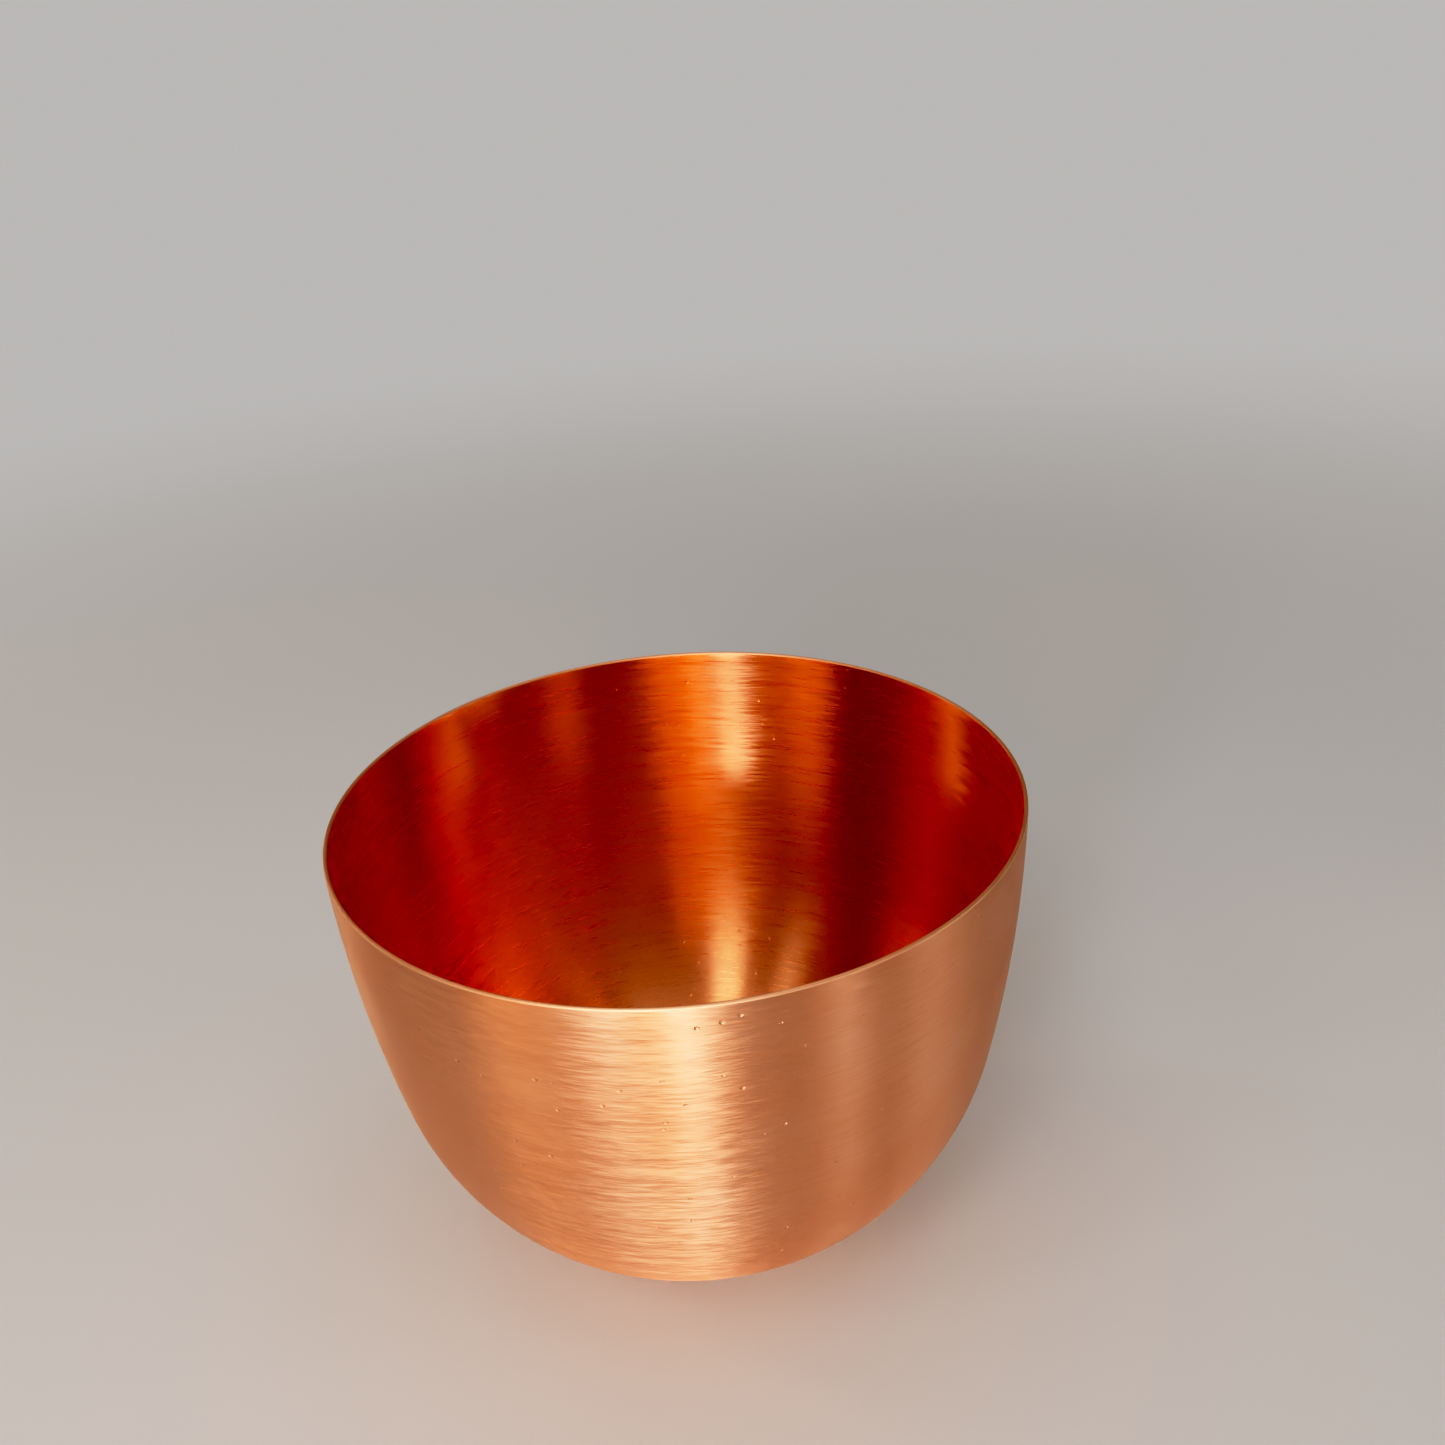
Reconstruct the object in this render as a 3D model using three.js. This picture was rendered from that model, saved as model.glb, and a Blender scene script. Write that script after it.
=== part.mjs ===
// Spun copper bowl: one seamless cup drawn from a single disc of sheet, with a plain rounded rim.
// Millimetres, +Z up. The origin is the centre of the flat spot that the bowl stands on.
import * as THREE from 'three';

// Driving dimensions of the outer surface
const RIM_RADIUS = 63.5; // 5 inch bowl, measured over the outside of the rim
const HEIGHT = 90;
const SHEET = 0.8; // one thickness of sheet everywhere
const BASE_RADIUS = 16; // flat spot under the bowl

// The outer surface rises from the flat spot through three arcs, each tangent to the one before.
// A slope is the angle between the surface and the horizontal.
const FOOT_ARC_RADIUS = 30;
const FOOT_END_SLOPE = THREE.MathUtils.degToRad(28);
const KNEE_ARC_RADIUS = 55;
const KNEE_END_SLOPE = THREE.MathUtils.degToRad(78.5);
// The third arc, the wall, is the one that leaves the knee and meets the rim.

// Facets
const TURN_SEGMENTS = 64; // around the axis
const FOOT_STEPS = 4;
const KNEE_STEPS = 7;
const WALL_STEPS = 4;
const RIM_STEPS = 4;

// The point on an arc where its slope has become `slope`, when it leaves `start` at `startSlope`.
// Points are (distance from the axis, height).
function pointOnArc(start, startSlope, radius, slope) {
  return new THREE.Vector2(
    start.x + radius * (Math.sin(slope) - Math.sin(startSlope)),
    start.y + radius * (Math.cos(startSlope) - Math.cos(slope)),
  );
}

// Points along an arc, without its first one, each with the slope that the surface has there.
function arcStations(start, startSlope, radius, endSlope, steps) {
  const stations = [];
  for (let i = 1; i <= steps; i += 1) {
    const slope = THREE.MathUtils.lerp(startSlope, endSlope, i / steps);
    stations.push({ point: pointOnArc(start, startSlope, radius, slope), slope });
  }
  return stations;
}

// Stations up the outer surface, from the edge of the flat spot to the rim.
// The last one is where the rim's rounding starts, half a thickness below the top.
function outerStations() {
  const baseEdge = { point: new THREE.Vector2(BASE_RADIUS, 0), slope: 0 };
  const foot = arcStations(baseEdge.point, 0, FOOT_ARC_RADIUS, FOOT_END_SLOPE, FOOT_STEPS);
  const footTop = foot.at(-1).point;
  const knee = arcStations(
    footTop, FOOT_END_SLOPE, KNEE_ARC_RADIUS, KNEE_END_SLOPE, KNEE_STEPS);
  const kneeTop = knee.at(-1).point;

  const wallTop = new THREE.Vector2(RIM_RADIUS, HEIGHT - SHEET / 2);
  const chord = wallTop.clone().sub(kneeTop);
  const halfTurn = chord.angle() - KNEE_END_SLOPE;
  const wallRadius = chord.length() / (2 * Math.sin(halfTurn));
  const wallEndSlope = KNEE_END_SLOPE + 2 * halfTurn;
  const wall = arcStations(kneeTop, KNEE_END_SLOPE, wallRadius, wallEndSlope, WALL_STEPS);
  return [baseEdge, ...foot, ...knee, ...wall];
}

// The matching point on the inner surface: one thickness of sheet away, square to the outer one.
function innerPoint({ point, slope }) {
  return new THREE.Vector2(
    point.x - SHEET * Math.sin(slope),
    point.y + SHEET * Math.cos(slope),
  );
}

// The half-round rim, from the outer surface over the top to the inner one, without its two ends.
function rimPoints({ point, slope }) {
  const radius = SHEET / 2;
  const centre = new THREE.Vector2(
    point.x - radius * Math.sin(slope),
    point.y + radius * Math.cos(slope),
  );
  const outward = slope - Math.PI / 2;
  const points = [];
  for (let i = 1; i < RIM_STEPS; i += 1) {
    const angle = outward + Math.PI * (i / RIM_STEPS);
    points.push(new THREE.Vector2(
      centre.x + radius * Math.cos(angle),
      centre.y + radius * Math.sin(angle),
    ));
  }
  return points;
}

// The wall's closed section: up the outside, over the rim, down the inside, ending on the axis.
function bowlSection() {
  const outer = outerStations();
  const inner = outer.map(innerPoint).reverse();
  return [
    new THREE.Vector2(0, 0),
    ...outer.map(({ point }) => point),
    ...rimPoints(outer.at(-1)),
    ...inner,
    new THREE.Vector2(0, SHEET),
  ];
}

function makeBowl() {
  const geometry = new THREE.LatheGeometry(bowlSection(), TURN_SEGMENTS);
  geometry.rotateX(Math.PI / 2); // the lathe turns about +Y, and the bowl stands up along +Z
  const copper = new THREE.MeshStandardMaterial({
    color: new THREE.Color(0.85, 0.5, 0.36),
    roughness: 0.35,
    metalness: 1,
  });
  const bowl = new THREE.Mesh(geometry, copper);
  bowl.name = 'bowl_shell';
  return bowl;
}

const object = new THREE.Group();
object.add(makeBowl());

export default object;
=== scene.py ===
"""A satin copper bowl, spun from one disc of sheet, on a plain pale floor. Metres, +Z up."""
import math

import bpy
import numpy as np
from mathutils import Matrix, Vector


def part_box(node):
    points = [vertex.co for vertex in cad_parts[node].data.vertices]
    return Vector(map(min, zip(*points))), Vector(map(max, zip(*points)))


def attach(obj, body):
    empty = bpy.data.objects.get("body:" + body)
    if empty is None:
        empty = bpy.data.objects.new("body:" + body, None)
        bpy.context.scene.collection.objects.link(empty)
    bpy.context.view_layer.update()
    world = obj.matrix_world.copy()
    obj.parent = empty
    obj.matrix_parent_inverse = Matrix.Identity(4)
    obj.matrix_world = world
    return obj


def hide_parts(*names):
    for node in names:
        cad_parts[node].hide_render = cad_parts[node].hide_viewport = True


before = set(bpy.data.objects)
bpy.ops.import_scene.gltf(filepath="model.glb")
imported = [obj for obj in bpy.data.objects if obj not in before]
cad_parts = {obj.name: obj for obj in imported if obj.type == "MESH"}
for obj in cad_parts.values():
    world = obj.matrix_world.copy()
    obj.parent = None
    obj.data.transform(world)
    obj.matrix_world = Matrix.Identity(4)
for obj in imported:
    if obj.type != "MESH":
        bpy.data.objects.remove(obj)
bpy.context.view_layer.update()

MM = 0.001

# The bowl's outer profile, as in the CAD part: a flat spot and three tangent arcs
BASE_RADIUS = 16 * MM
FOOT_ARC_RADIUS = 30 * MM
FOOT_END_SLOPE = math.radians(28)
KNEE_ARC_RADIUS = 55 * MM
KNEE_END_SLOPE = math.radians(78.5)
SHEET = 0.8 * MM
shell_low, shell_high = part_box("bowl_shell")
RIM_RADIUS = (shell_high.x - shell_low.x) / 2
HEIGHT = shell_high.z - shell_low.z

# Mesh density
TURN_SEGMENTS = 288
SKIN_STEPS = 72
RIM_STEPS = 8
ROUNDING = 1.000001  # lets the last point of an arc count as on it

# Brushed lines, each as (length, width). The slanted strokes climb or fall by LINE_SLANT per unit of turn.
HAIR_LINE = (5 * MM, 0.14 * MM)
RISING_STROKE = (4 * MM, 0.22 * MM)
FALLING_STROKE = (5 * MM, 0.26 * MM)
BROAD_LINE = (45 * MM, 0.8 * MM)
LINE_SLANT = 0.07
# How far the difference of two strokes turns the grain: beyond this it turns no further
STROKE_DIFFERENCE = 0.7
# A quarter turn points the grain round the bowl, with the tangent that the material uses
GRAIN_ROUND = 0.25
# Soft clouds of slightly different colour
CLOUD_SIZE = 28 * MM
CLOUD_DETAIL = 3.0
# Noise seldom leaves this range
NOISE_LOW = 0.3
NOISE_HIGH = 0.7

# Rings that the spinning tool left in the bottom, which fade between two distances from the axis
RING_LINE = (400 * MM, 0.9 * MM)
RINGS_FULL_TO = 34 * MM
RINGS_FADED_FROM = 54 * MM
RINGS_FADED_SHARE = 0.25

# Pits: one in each cell whose random number is above PIT_CHOICE. It is deepest up to PIT_FLOOR from its
# middle and ends at PIT_EDGE, both in cells.
PIT_CELL = (3.2 * MM, 2.4 * MM)
PIT_FLOOR = 0.06
PIT_EDGE = 0.16
PIT_CHOICE = 0.6

# Scratches across the lines, in areas of about SCRATCH_AREA. Each range is where a noise, of the areas or of
# the scratches, goes from none to full.
SCRATCH_LINE = (4 * MM, 0.35 * MM)
SCRATCH_SLANT = 0.7
SCRATCH_AREA = 12 * MM
SCRATCH_AREA_RANGE = (0.4, 0.6)
SCRATCH_RANGE = (0.6, 0.75)

# How much each kind of line has to do with the gloss and colour, and how deep it is beside line_depth
FINE_WEAR = 0.5
HAIR_WEAR = 0.3
BROAD_WEAR = 0.2
WEAR_RANGE = (0.1, 0.9)
HAIR_DEPTH = 0.5
FINE_DEPTH = 1.6
BROAD_DEPTH = 0.4

# What sets the three skins apart. Colours are linear, depths are metres, line_tint is how much of the
# colour change follows the lines rather than the clouds, and line_stray is how far the grain turns, in turns.
OUTER_LOOK = dict(
    color=(0.94, 0.56, 0.38), deep_color=(0.88, 0.46, 0.28), roughness=0.42, roughness_spread=0.10,
    anisotropy=0.94, line_tint=0.45, line_depth=2.9e-6, line_stray=0.009, line_stretch=1.0,
    rings=0, pits=75e-6, scratches=3e-6,
)
RIM_LOOK = dict(
    color=(0.95, 0.63, 0.45), deep_color=(0.93, 0.56, 0.37), roughness=0.52, roughness_spread=0.05,
    anisotropy=0.3, line_tint=0.3, line_depth=2e-6, line_stray=0.0, line_stretch=1.0,
    rings=0, pits=0, scratches=0,
)
# The inside's colours are redder than the outside's, though both are the same sheet: a painted reddening that
# stands in for the deep red light takes on bouncing round inside the bowl
INNER_LOOK = dict(
    color=(0.94, 0.47, 0.25), deep_color=(0.91, 0.40, 0.18), roughness=0.31, roughness_spread=0.05,
    anisotropy=1.0, line_tint=0.45, line_depth=1.9e-6, line_stray=0.012, line_stretch=2.5,
    rings=6e-6, pits=30e-6, scratches=6e-6,
)

# The stage
BACKDROP = (0.64, 0.625, 0.615)
DIM_LIGHT = (0.21, 0.165, 0.14)
FLOOR_COLOR = (0.66, 0.735, 0.79)
FLOOR_GLOW = 0.10
FLOOR_ROUGHNESS = 0.9
FLOOR_REACH = 12.0
FLOOR_FADES_FROM = 0.2
FLOOR_FADED_AT = 0.8

# Softboxes, all aimed at a point on the bowl's axis: name, azimuth, elevation, width and height in degrees,
# brightness and colour. Azimuth 0 is the camera's side, and 90 is the right (+X).
AIM_HEIGHT = 0.6 * HEIGHT
SOFTBOX_DISTANCE = 1.0
WHITE = (1.0, 1.0, 1.0)
COOL = (0.92, 1.0, 1.15)
WARM = (1.0, 0.8, 0.6)
ORANGE = (1.0, 0.58, 0.3)
SOFTBOXES = (
    ("low_front", 0, 0, 9, 5, 52.0, COOL),
    ("front", -1, 9, 22, 12, 3.2, ORANGE),
    ("front_edge", -10, 14, 7, 9, 11.0, ORANGE),
    ("key", -22, 15, 10, 3, 70.0, COOL),
    ("front_left", -36, 12, 14, 12, 2.6, ORANGE),
    ("left", -52, 11, 14, 11, 3.8, ORANGE),
    ("left_glint", -114, 14, 5, 6, 26.0, WARM),
    ("right_patch", 41, 11, 12, 7, 3.6, ORANGE),
    ("low_right", 44, 0, 6, 5, 15.0, COOL),
    ("right", 71, 3, 13, 5, 7.0, WHITE),
    ("right_glint", 84, 11, 4, 4, 14.0, WHITE),
    ("over_front", -6, 25, 24, 18, 3.8, ORANGE),
    ("over_left", -50, 20, 14, 10, 5.0, ORANGE),
    ("over_key", -30, 27, 16, 16, 1.4, ORANGE),
    ("high_front", -20, 48, 12, 22, 4.4, WHITE),
    ("high_left", -57, 45, 11, 13, 2.6, WHITE),
    ("far_left", -97, 34, 6, 6, 7.0, ORANGE),
    ("high_right", 66, 42, 12, 16, 1.2, ORANGE),
    ("back_fill", 180, 55, 80, 34, 0.3, WARM),
    ("top", 0, 88, 50, 50, 0.9, WHITE),
)

# The camera stands in front of the bowl and looks down into it
CAMERA_PLACE = Vector((9.6, -232.0, 219.8)) * MM
CAMERA_PITCH = math.radians(26.59)
CAMERA_ROLL = math.radians(-4.16)
CAMERA_LENS = 36.05
CAMERA_SENSOR = 36
CAMERA_CLIP_START = 0.01

# A contrasty picture, as a phone makes it. The curve runs from BLACK_LEVEL to WHITE_LEVEL: straight at first,
# and then a soft shoulder for the highlights.
GAMMA = 0.72
BLACK_LEVEL = 0.07
WHITE_LEVEL = 2.0
TONE_CURVE = ((0.11, 0.23), (0.22, 0.459), (0.32, 0.64), (0.48, 0.83), (0.69, 0.945))
GLOSSY_BOUNCES = 8  # light crosses the inside of the bowl several times


# ---------------------------------------------------------------- shape

def arc_point(start, start_slope, radius, slope):
    """The point on an arc where its slope has become `slope`, as (distance from the axis, height)."""
    return (
        start[0] + radius * (math.sin(slope) - math.sin(start_slope)),
        start[1] + radius * (math.cos(start_slope) - math.cos(slope)),
    )


def wall_arc(knee_top):
    """Radius and end slope of the arc that leaves the knee and meets the rim."""
    dx = RIM_RADIUS - knee_top[0]
    dz = HEIGHT - SHEET / 2 - knee_top[1]
    half_turn = math.atan2(dz, dx) - KNEE_END_SLOPE
    radius = math.hypot(dx, dz) / (2 * math.sin(half_turn))
    return radius, KNEE_END_SLOPE + 2 * half_turn


def outer_stations(steps):
    """(distance from the axis, height, slope) up the outside, evenly spaced along the profile."""
    base_edge = (BASE_RADIUS, 0.0)
    foot_top = arc_point(base_edge, 0.0, FOOT_ARC_RADIUS, FOOT_END_SLOPE)
    knee_top = arc_point(foot_top, FOOT_END_SLOPE, KNEE_ARC_RADIUS, KNEE_END_SLOPE)
    wall_radius, wall_slope = wall_arc(knee_top)
    arcs = [
        (base_edge, 0.0, FOOT_ARC_RADIUS, FOOT_END_SLOPE),
        (foot_top, FOOT_END_SLOPE, KNEE_ARC_RADIUS, KNEE_END_SLOPE),
        (knee_top, KNEE_END_SLOPE, wall_radius, wall_slope),
    ]
    lengths = [BASE_RADIUS] + [radius * (end - start) for _, start, radius, end in arcs]
    stations = []
    for i in range(1, steps + 1):
        s = sum(lengths) * i / steps
        if s <= lengths[0]:
            stations.append((s, 0.0, 0.0))
            continue
        s -= lengths[0]
        for (start, start_slope, radius, _), length in zip(arcs, lengths[1:]):
            if s <= length * ROUNDING:
                slope = start_slope + s / radius
                r, z = arc_point(start, start_slope, radius, slope)
                stations.append((r, z, slope))
                break
            s -= length
    return stations


def bowl_section():
    """The shell's section from the outside's centre, over the rim, to the inside's centre.

    Each entry is (distance from the axis, height, part), and part is outer, rim or inner."""
    outer = outer_stations(SKIN_STEPS)
    section = [(r, z, "outer") for r, z, _ in outer]
    r, z, slope = outer[-1]
    half = SHEET / 2
    centre = (r - half * math.sin(slope), z + half * math.cos(slope))
    for i in range(1, RIM_STEPS):
        angle = slope - math.pi / 2 + math.pi * i / RIM_STEPS
        section.append((centre[0] + half * math.cos(angle), centre[1] + half * math.sin(angle), "rim"))
    for r, z, slope in reversed(outer):
        section.append((r - SHEET * math.sin(slope), z + SHEET * math.cos(slope), "inner"))
    return section


def make_shell(materials):
    """The bowl as one closed mesh with a material slot for each of its outer, rim and inner skins."""
    section = bowl_section()
    rings = len(section)
    angles = np.linspace(0, 2 * math.pi, TURN_SEGMENTS, endpoint=False)
    verts = [(0.0, 0.0, 0.0)]
    for r, z, _ in section:
        verts += [(r * math.cos(a), r * math.sin(a), z) for a in angles]
    verts.append((0.0, 0.0, SHEET))
    last = len(verts) - 1

    def at(ring, i):
        return 1 + ring * TURN_SEGMENTS + i % TURN_SEGMENTS

    slots = {"outer": 0, "rim": 1, "inner": 2}
    faces = []
    face_slots = []
    for i in range(TURN_SEGMENTS):
        faces.append((0, at(0, i + 1), at(0, i)))
        face_slots.append(slots["outer"])
        for ring in range(rings - 1):
            faces.append((at(ring, i), at(ring, i + 1), at(ring + 1, i + 1), at(ring + 1, i)))
            parts = {section[ring][2], section[ring + 1][2]}
            face_slots.append(slots["rim" if "rim" in parts else section[ring][2]])
        faces.append((at(rings - 1, i), at(rings - 1, i + 1), last))
        face_slots.append(slots["inner"])
    mesh = bpy.data.meshes.new("bowl")
    mesh.from_pydata(verts, [], faces)
    for name in ("outer", "rim", "inner"):
        mesh.materials.append(materials[name])
    mesh.polygons.foreach_set("material_index", face_slots)
    mesh.polygons.foreach_set("use_smooth", [True] * len(faces))

    # How far along the section each point is, for the lines that run round the bowl
    along = [0.0]
    previous = (0.0, 0.0)
    travelled = 0.0
    for r, z, _ in section:
        travelled += math.hypot(r - previous[0], z - previous[1])
        previous = (r, z)
        along += [travelled] * TURN_SEGMENTS
    along.append(travelled + previous[0])
    attribute = mesh.attributes.new("along", "FLOAT", "POINT")
    attribute.data.foreach_set("value", along)
    mesh.update()
    bowl = bpy.data.objects.new("copper_bowl", mesh)
    bpy.context.scene.collection.objects.link(bowl)
    return bowl


# ---------------------------------------------------------------- material

class Nodes:
    """A short way to build a material's nodes."""

    def __init__(self, name):
        self.material = bpy.data.materials.new(name)
        self.material.use_nodes = True
        self.tree = self.material.node_tree
        self.shader = self.tree.nodes["Principled BSDF"]

    def add(self, kind, **settings):
        node = self.tree.nodes.new(kind)
        for key, value in settings.items():
            setattr(node, key, value)
        return node

    def link(self, source, target):
        """Joins a socket to an input, or writes a plain value into it."""
        if isinstance(source, bpy.types.NodeSocket):
            self.tree.links.new(source, target)
        else:
            target.default_value = source

    def math(self, operation, first, second=0.0):
        node = self.add("ShaderNodeMath", operation=operation)
        self.link(first, node.inputs[0])
        self.link(second, node.inputs[1])
        return node.outputs[0]

    def ramp(self, value, low, high, out_low=0.0, out_high=1.0):
        """Maps low..high to out_low..out_high, smoothly, and holds the ends."""
        node = self.add("ShaderNodeMapRange", interpolation_type="SMOOTHSTEP")
        for socket, source in zip(node.inputs, (value, low, high, out_low, out_high)):
            self.link(source, socket)
        return node.outputs["Result"]

    def noise(self, vector, scale=1.0, detail=2.0):
        node = self.add("ShaderNodeTexNoise")
        self.link(vector, node.inputs["Vector"])
        self.link(scale, node.inputs["Scale"])
        self.link(detail, node.inputs["Detail"])
        return node.outputs["Fac"]

    def mix_color(self, factor, first, second):
        node = self.add("ShaderNodeMix", data_type="RGBA")
        self.link(factor, node.inputs["Factor"])
        for source, socket in ((first, node.inputs[6]), (second, node.inputs[7])):
            self.link(source if isinstance(source, bpy.types.NodeSocket) else (*source, 1.0), socket)
        return node.outputs[2]

    def bump(self, height, depth, normal=None):
        """Bumps the surface by `height` (0 to 1) times `depth` metres."""
        node = self.add("ShaderNodeBump")
        self.link(height, node.inputs["Height"])
        node.inputs["Distance"].default_value = depth
        if normal is not None:
            self.link(normal, node.inputs["Normal"])
        return node.outputs[0]


def position(nodes):
    return nodes.add("ShaderNodeTexCoord").outputs["Object"]


def flat_position(nodes):
    """The position without its height, so that its length is the distance from the axis."""
    flat = nodes.add("ShaderNodeVectorMath", operation="MULTIPLY")
    nodes.link(position(nodes), flat.inputs[0])
    flat.inputs[1].default_value = (1, 1, 0)
    return flat.outputs[0]


def round_coordinates(nodes, size, slant=0.0):
    """Coordinates for a pattern that runs round the bowl, without a seam.

    One unit is size[0] of turn at the rim one way, and size[1] along the section the other way. slant is how
    far a line climbs along the section for each unit of turn, away from +X on either side."""
    length, width = size
    unit = nodes.add("ShaderNodeVectorMath", operation="NORMALIZE")
    nodes.link(flat_position(nodes), unit.inputs[0])
    split = nodes.add("ShaderNodeSeparateXYZ")
    nodes.link(unit.outputs[0], split.inputs[0])
    along = nodes.add("ShaderNodeAttribute", attribute_name="along").outputs["Fac"]
    if slant:
        turn = nodes.math("ABSOLUTE", nodes.math("ARCTAN2", split.outputs["Y"], split.outputs["X"]))
        along = nodes.math("ADD", along, nodes.math("MULTIPLY", turn, slant * RIM_RADIUS))
    out = nodes.add("ShaderNodeCombineXYZ")
    nodes.link(nodes.math("MULTIPLY", split.outputs["X"], RIM_RADIUS / length), out.inputs["X"])
    nodes.link(nodes.math("MULTIPLY", split.outputs["Y"], RIM_RADIUS / length), out.inputs["Y"])
    nodes.link(nodes.math("DIVIDE", along, width), out.inputs["Z"])
    return out.outputs[0]


def lines(nodes, size, stretch=1.0, slant=0.0):
    """Brushed lines, 1 on a line and 0 in the gaps. stretch makes them longer than size says."""
    length, width = size
    noise = nodes.noise(round_coordinates(nodes, (stretch * length, width), slant))
    return nodes.ramp(noise, NOISE_LOW, NOISE_HIGH)


def blend(nodes, *shares):
    """The sum of (value, share) pairs."""
    total = 0.0
    for value, share in shares:
        total = nodes.math("ADD", total, nodes.math("MULTIPLY", value, share))
    return total


def turned_rings(nodes):
    """The rings that the spinning tool left near the bottom, fading out up the wall."""
    rings = nodes.noise(round_coordinates(nodes, RING_LINE), detail=1.0)
    away = nodes.add("ShaderNodeVectorMath", operation="LENGTH")
    nodes.link(flat_position(nodes), away.inputs[0])
    strength = nodes.ramp(
        away.outputs["Value"], RINGS_FULL_TO, RINGS_FADED_FROM, 1.0, RINGS_FADED_SHARE)
    return nodes.math("MULTIPLY", rings, strength)


def pits(nodes):
    """Small shallow pits, scattered and rather wider than they are high."""
    cells = nodes.add("ShaderNodeTexVoronoi")
    nodes.link(round_coordinates(nodes, PIT_CELL), cells.inputs["Vector"])
    cells.inputs["Scale"].default_value = 1.0
    hollow = nodes.ramp(cells.outputs["Distance"], PIT_FLOOR, PIT_EDGE, 1.0, 0.0)
    split = nodes.add("ShaderNodeSeparateColor")
    nodes.link(cells.outputs["Color"], split.inputs[0])
    chosen = nodes.math("GREATER_THAN", split.outputs[0], PIT_CHOICE)
    return nodes.math("SUBTRACT", 1.0, nodes.math("MULTIPLY", hollow, chosen))


def scratches(nodes):
    """Short hair scratches that cross the brushed lines, in places."""
    crossing = nodes.noise(round_coordinates(nodes, SCRATCH_LINE, SCRATCH_SLANT), detail=1.0)
    places = nodes.noise(position(nodes), 1 / SCRATCH_AREA, 1.0)
    keep = nodes.ramp(places, *SCRATCH_AREA_RANGE)
    cut = nodes.ramp(crossing, *SCRATCH_RANGE)
    return nodes.math("SUBTRACT", 1.0, nodes.math("MULTIPLY", cut, keep))


def brushed_copper(name, look):
    """Copper rubbed round and round with an abrasive: the lines run round the bowl, so light spreads up and
    down the wall, across them."""
    nodes = Nodes(name)
    shader = nodes.shader
    shader.inputs["Metallic"].default_value = 1.0
    shader.inputs["Anisotropic"].default_value = look["anisotropy"]
    tangent = nodes.add("ShaderNodeTangent", direction_type="RADIAL", axis="Z")
    nodes.link(tangent.outputs[0], shader.inputs["Tangent"])

    hair = lines(nodes, HAIR_LINE, look["line_stretch"])
    rising = lines(nodes, RISING_STROKE, look["line_stretch"], LINE_SLANT)
    falling = lines(nodes, FALLING_STROKE, look["line_stretch"], -LINE_SLANT)
    fine = blend(nodes, (rising, 0.5), (falling, 0.5))
    broad = lines(nodes, BROAD_LINE)
    clouds = nodes.noise(position(nodes), 1 / CLOUD_SIZE, CLOUD_DETAIL)

    # No two strokes run quite the same way, which leaves a ragged edge on a highlight
    grain = GRAIN_ROUND
    stray = look["line_stray"]
    if stray:
        difference = nodes.math("SUBTRACT", rising, falling)
        grain = nodes.ramp(
            difference, -STROKE_DIFFERENCE, STROKE_DIFFERENCE, GRAIN_ROUND - stray, GRAIN_ROUND + stray)
    nodes.link(grain, shader.inputs["Anisotropic Rotation"])

    # The lines differ a little in gloss and in colour
    wear = blend(nodes, (fine, FINE_WEAR), (hair, HAIR_WEAR), (broad, BROAD_WEAR))
    spread = look["roughness_spread"]
    roughness = nodes.ramp(wear, *WEAR_RANGE, look["roughness"] - spread, look["roughness"] + spread)
    nodes.link(roughness, shader.inputs["Roughness"])
    tint = blend(nodes, (clouds, 1 - look["line_tint"]), (wear, look["line_tint"]))
    color = nodes.mix_color(nodes.ramp(tint, NOISE_LOW, NOISE_HIGH), look["deep_color"], look["color"])
    nodes.link(color, shader.inputs["Base Color"])

    depth = look["line_depth"]
    normal = nodes.bump(hair, HAIR_DEPTH * depth)
    normal = nodes.bump(fine, FINE_DEPTH * depth, normal)
    normal = nodes.bump(broad, BROAD_DEPTH * depth, normal)
    for mark, depth in ((turned_rings, look["rings"]), (pits, look["pits"]), (scratches, look["scratches"])):
        if depth:
            normal = nodes.bump(mark(nodes), depth, normal)
    nodes.link(normal, shader.inputs["Normal"])
    return nodes.material


materials = {
    "outer": brushed_copper("copper_outer", OUTER_LOOK),
    "rim": brushed_copper("copper_rim", RIM_LOOK),
    "inner": brushed_copper("copper_inner", INNER_LOOK),
}
bowl = make_shell(materials)
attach(bowl, "root")
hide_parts("bowl_shell")


# ---------------------------------------------------------------- stage

def make_floor():
    """A pale floor that turns into the even tone of the backdrop a little way out."""
    corners = [(x * FLOOR_REACH, y * FLOOR_REACH, 0) for x, y in ((-1, -1), (1, -1), (1, 1), (-1, 1))]
    mesh = bpy.data.meshes.new("floor")
    mesh.from_pydata(corners, [], [(0, 1, 2, 3)])
    floor = bpy.data.objects.new("floor", mesh)
    bpy.context.scene.collection.objects.link(floor)
    nodes = Nodes("floor_paper")
    nodes.shader.inputs["Base Color"].default_value = (*FLOOR_COLOR, 1)
    nodes.shader.inputs["Emission Color"].default_value = (1, 1, 1, 1)
    nodes.shader.inputs["Emission Strength"].default_value = FLOOR_GLOW
    nodes.shader.inputs["Roughness"].default_value = FLOOR_ROUGHNESS
    away = nodes.add("ShaderNodeVectorMath", operation="LENGTH")
    nodes.link(position(nodes), away.inputs[0])
    far = nodes.ramp(away.outputs["Value"], FLOOR_FADES_FROM, FLOOR_FADED_AT)
    glow = nodes.add("ShaderNodeEmission")
    glow.inputs["Color"].default_value = (*BACKDROP, 1)
    mix = nodes.add("ShaderNodeMixShader")
    nodes.link(far, mix.inputs[0])
    nodes.link(nodes.shader.outputs[0], mix.inputs[1])
    nodes.link(glow.outputs[0], mix.inputs[2])
    nodes.link(mix.outputs[0], nodes.tree.nodes["Material Output"].inputs["Surface"])
    mesh.materials.append(nodes.material)


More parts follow.
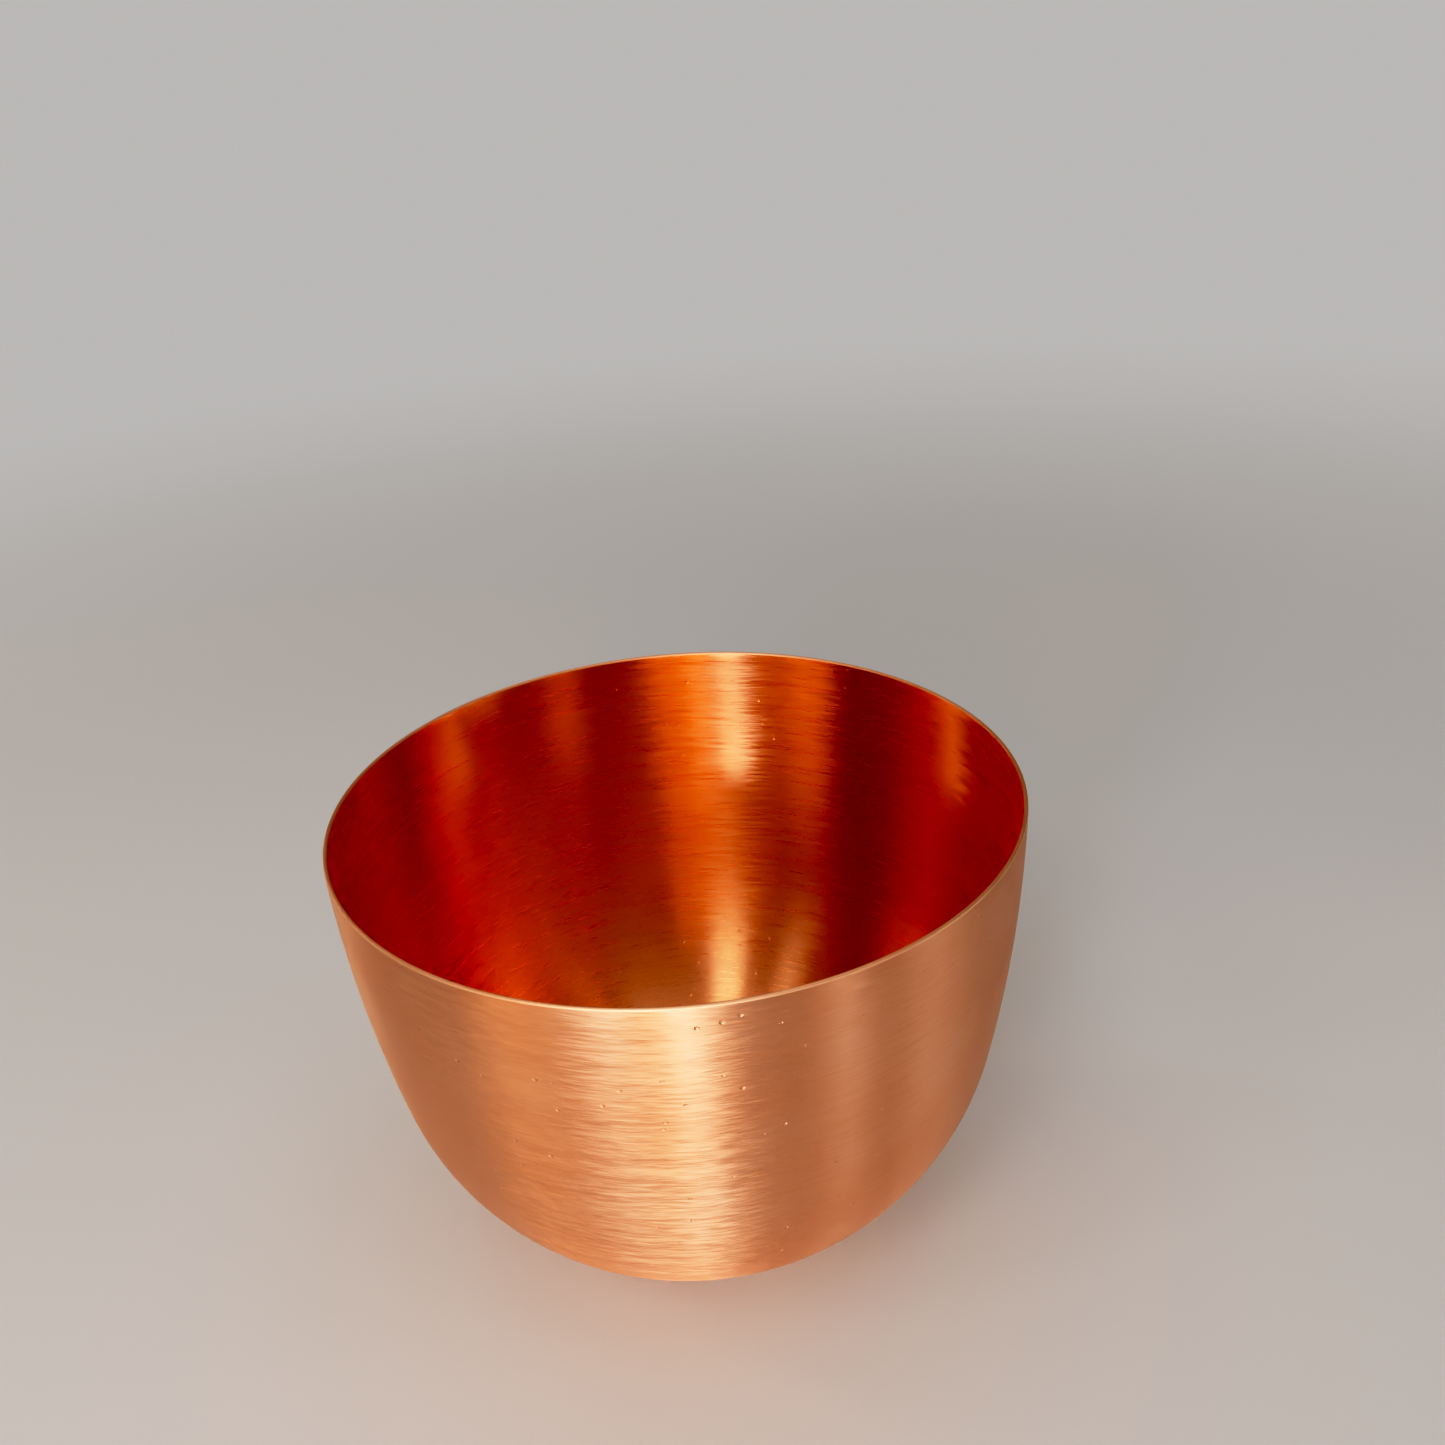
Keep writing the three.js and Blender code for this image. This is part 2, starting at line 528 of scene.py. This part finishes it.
def make_world():
    """Dim even light from all round, in front of which the camera sees the pale backdrop."""
    world = bpy.data.worlds.new("studio")
    world.use_nodes = True
    tree = world.node_tree
    dim = tree.nodes["Background"]
    dim.inputs["Color"].default_value = (*DIM_LIGHT, 1)
    seen = tree.nodes.new("ShaderNodeBackground")
    seen.inputs["Color"].default_value = (*BACKDROP, 1)
    path = tree.nodes.new("ShaderNodeLightPath")
    mix = tree.nodes.new("ShaderNodeMixShader")
    tree.links.new(path.outputs["Is Camera Ray"], mix.inputs[0])
    tree.links.new(dim.outputs[0], mix.inputs[1])
    tree.links.new(seen.outputs[0], mix.inputs[2])
    tree.links.new(mix.outputs[0], tree.nodes["World Output"].inputs["Surface"])
    bpy.context.scene.world = world


def make_softbox(name, azimuth, elevation, width, height, brightness, color):
    """An area light aimed at the bowl. The width and height are the degrees that it fills, as the bowl sees
    it, and brightness is the radiance of its face."""
    a = math.radians(azimuth)
    e = math.radians(elevation)
    back = Vector((math.sin(a) * math.cos(e), -math.cos(a) * math.cos(e), math.sin(e)))
    data = bpy.data.lights.new(name, "AREA")
    data.shape = "RECTANGLE"
    data.size = 2 * SOFTBOX_DISTANCE * math.tan(math.radians(width / 2))
    data.size_y = 2 * SOFTBOX_DISTANCE * math.tan(math.radians(height / 2))
    data.energy = brightness * math.pi * data.size * data.size_y
    data.color = color
    light = bpy.data.objects.new(name, data)
    light.location = Vector((0, 0, AIM_HEIGHT)) + back * SOFTBOX_DISTANCE
    light.rotation_mode = "QUATERNION"
    light.rotation_quaternion = (-back).to_track_quat("-Z", "Y")
    light.visible_camera = False
    bpy.context.scene.collection.objects.link(light)


def make_camera():
    data = bpy.data.cameras.new("camera")
    data.lens = CAMERA_LENS
    data.sensor_width = CAMERA_SENSOR
    data.clip_start = CAMERA_CLIP_START
    camera = bpy.data.objects.new("camera", data)
    turn = Matrix.Rotation(math.pi / 2 - CAMERA_PITCH, 4, "X") @ Matrix.Rotation(CAMERA_ROLL, 4, "Z")
    camera.matrix_world = Matrix.Translation(CAMERA_PLACE) @ turn
    bpy.context.scene.collection.objects.link(camera)
    bpy.context.scene.camera = camera


def set_tone():
    """Darker shadows and richer colours, with highlights that don't burn out."""
    scene = bpy.context.scene
    scene.view_settings.view_transform = "Standard"
    scene.view_settings.gamma = GAMMA
    scene.view_settings.use_curve_mapping = True
    curves = scene.view_settings.curve_mapping
    curves.black_level = (BLACK_LEVEL, BLACK_LEVEL, BLACK_LEVEL)
    curves.white_level = (WHITE_LEVEL, WHITE_LEVEL, WHITE_LEVEL)
    combined = curves.curves[3]
    for x, y in TONE_CURVE:
        combined.points.new(x, y)
    curves.update()
    scene.cycles.glossy_bounces = GLOSSY_BOUNCES


make_floor()
make_world()
for settings in SOFTBOXES:
    make_softbox(*settings)
make_camera()
set_tone()
